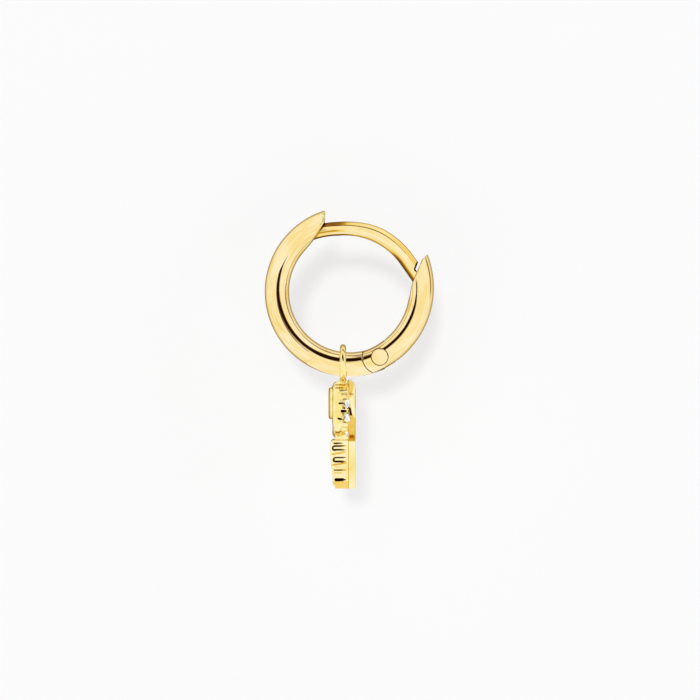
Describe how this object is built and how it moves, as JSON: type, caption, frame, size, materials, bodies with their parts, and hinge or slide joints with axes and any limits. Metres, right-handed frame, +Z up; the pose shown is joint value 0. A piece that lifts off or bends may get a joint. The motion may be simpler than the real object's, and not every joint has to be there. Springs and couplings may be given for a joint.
{
  "type": "hoop charm earring",
  "caption": "Hinged round hoop earring with a curved ear post and a cast rosette charm that hangs on a fixed ring.",
  "frame": {"origin": "top of the ear post's centre line, where the earring hangs in the ear", "axes": "+X from the charm's front to its back, +Y across the charm along the hinge pin, +Z up"},
  "size_m": [0.0131, 0.0048, 0.0213],
  "materials": {
    "gold": "polished gold plate",
    "stone": "clear cut stone"
  },
  "bodies": {
    "front": {"hoop_front": "gold"},
    "arm": {"hinge_arm": "gold", "hinge_pin": "gold"},
    "charm": {"charm": "gold", "stone_1": "stone", "stone_2": "stone", "stone_3": "stone", "stone_4": "stone", "stone_5": "stone", "stone_6": "stone"}
  },
  "joints": [
    {"name": "arm_hinge", "type": "hinge", "parent": "front", "child": "arm", "pos_m": [0.00266, 0, -0.00992], "axis": [0, 1, 0], "range_deg": [0, 60]},
    {"name": "charm_swing", "type": "hinge", "parent": "front", "child": "charm", "pos_m": [-0.00015, 0, -0.0105], "axis": [1, 0, 0], "range_deg": [-85, 85]}
  ]
}
